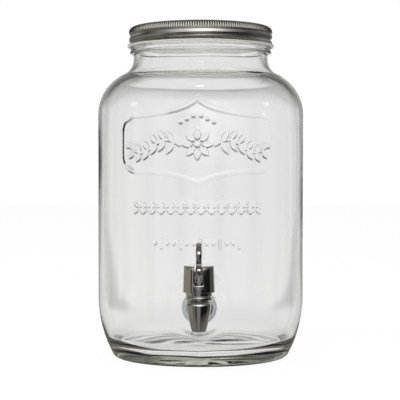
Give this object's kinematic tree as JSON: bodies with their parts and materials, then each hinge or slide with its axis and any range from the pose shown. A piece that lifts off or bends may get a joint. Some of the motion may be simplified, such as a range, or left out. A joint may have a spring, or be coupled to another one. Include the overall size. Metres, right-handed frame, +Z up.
{
  "type": "detergent dispenser jar",
  "caption": "Clear wide-mouth glass jar with a gripping-edge tin screw lid and a chrome lever tap near its foot, for storing and dispensing liquid detergent.",
  "frame": {"origin": "centre of the box round the whole object, on the plane that the jar stands on", "axes": "+Z up along the jar's axis; -Y out through the tap, which is the front; +X to the right seen from the front"},
  "size_m": [0.16, 0.1944, 0.2562],
  "materials": {
    "glass": "clear pressed and blown soda-lime glass, fire polished",
    "tinplate": "bright rolled tinplate, satin",
    "chrome": "chrome-plated moulded ABS",
    "plastisol": "flowed-in sealing ring, matt",
    "silicone": "translucent moulded silicone",
    "acetal": "moulded acetal, natural white",
    "nylon": "moulded nylon, natural",
    "steel": "stainless steel pin"
  },
  "bodies": {
    "jar": {"glass_jar": "glass", "tap_body": "chrome", "tap_bonnet": "chrome", "outer_gasket": "silicone", "inner_gasket": "silicone", "slip_washer": "nylon", "shank_nut": "nylon"},
    "lid_seal": {"lid_liner": "plastisol"},
    "lid": {"lid_shell": "tinplate"},
    "plunger": {"tap_stem": "acetal", "seat_cup": "silicone"},
    "lever": {"tap_lever": "chrome", "lever_pin": "steel"}
  },
  "joints": [
    {"name": "lid_lift", "type": "slide", "parent": "jar", "child": "lid_seal", "axis": [0, 0, 1], "range_m": [0, 0.0064]},
    {"name": "lid_turn", "type": "hinge", "parent": "lid_seal", "child": "lid", "pos_m": [0, 0.01717, 0.2495], "axis": [0, 0, 1], "range_deg": [0, 450]},
    {"name": "plunger_lift", "type": "slide", "parent": "jar", "child": "plunger", "axis": [0, 0, 1], "range_m": [0, 0.0035], "deforming": ["seat_cup"]},
    {"name": "lever_tilt", "type": "hinge", "parent": "plunger", "child": "lever", "pos_m": [0, -0.08582, 0.069], "axis": [1, 0, 0], "range_deg": [0, 80], "stiffness_Nm_per_rad": 0.02, "springref_deg": -17.19}
  ],
  "couplings": [
    {"joint": "lid_lift", "follows": "lid_turn", "m_per_rad": 0.00080851},
    {"joint": "lever_tilt", "follows": "plunger_lift", "rad_per_m": 398.93}
  ]
}
